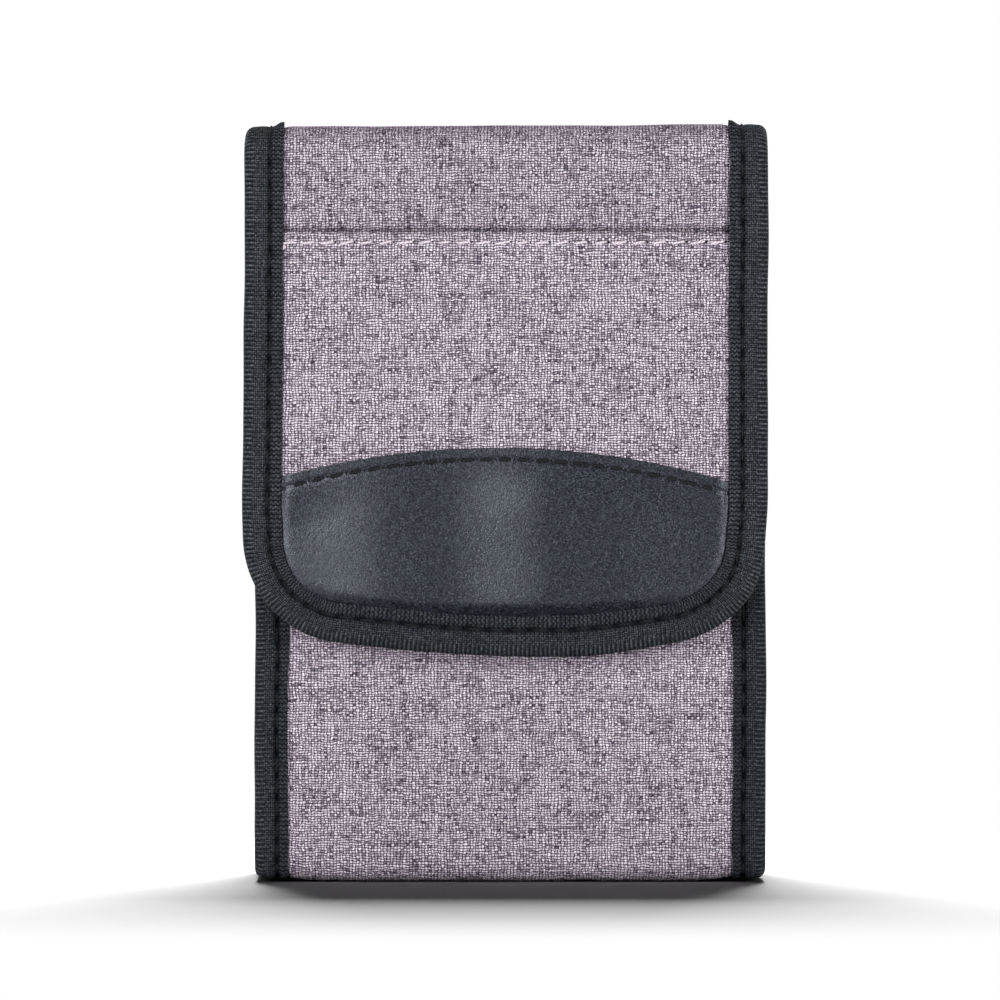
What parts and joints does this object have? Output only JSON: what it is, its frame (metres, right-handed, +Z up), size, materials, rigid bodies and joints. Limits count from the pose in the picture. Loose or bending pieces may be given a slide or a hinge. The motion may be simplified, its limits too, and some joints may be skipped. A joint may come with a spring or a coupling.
{
  "type": "compact camera pouch",
  "caption": "Upright padded canvas pouch for a compact camera, with bound edges, side gussets, a rounded fold-over flap with a leather patch, hook-and-loop closure and a belt loop.",
  "frame": {"origin": "centre of the flat base, where the pouch stands", "axes": "+Z up to the top of the flap, the front and its flap face -Y, the belt loop is on the +Y side, X is left to right"},
  "size_m": [0.086, 0.0618, 0.1247],
  "materials": {
    "canvas": "heathered plain-weave polyester canvas, mauve grey",
    "lining": "smooth charcoal nylon",
    "foam": "closed-cell foam, inside the walls",
    "binding": "black woven binding tape",
    "patch": "black grained leatherette, semi-matt",
    "webbing": "black woven webbing",
    "fastener": "black hook-and-loop tape"
  },
  "bodies": {
    "pouch": {"body_canvas": "canvas", "body_lining": "lining", "front_foam": "foam", "base_foam": "foam", "back_foam": "foam", "left_gusset_canvas": "canvas", "left_gusset_foam": "foam", "left_gusset_lining": "lining", "left_gusset_top_binding": "binding", "right_gusset_canvas": "canvas", "right_gusset_foam": "foam", "right_gusset_lining": "lining", "right_gusset_top_binding": "binding", "left_body_binding": "binding", "right_body_binding": "binding", "mouth_binding": "binding", "loop_tape": "fastener", "belt_loop": "webbing"},
    "flap_top": {"top_canvas": "canvas", "top_foam": "foam", "top_lining": "lining", "left_top_binding": "binding", "right_top_binding": "binding"},
    "flap_front": {"flap_band_canvas": "canvas", "flap_canvas": "canvas", "flap_foam": "foam", "flap_lining": "lining", "flap_patch": "patch", "flap_binding": "binding", "hook_tape": "fastener"}
  },
  "joints": [
    {"name": "flap_root_fold", "type": "hinge", "parent": "pouch", "child": "flap_top", "pos_m": [0, 0.02124, 0.12294], "axis": [-1, 0, 0], "range_deg": [0, 175]},
    {"name": "flap_front_fold", "type": "hinge", "parent": "flap_top", "child": "flap_front", "pos_m": [0, -0.02814, 0.12294], "axis": [-1, 0, 0], "range_deg": [0, 90]}
  ]
}
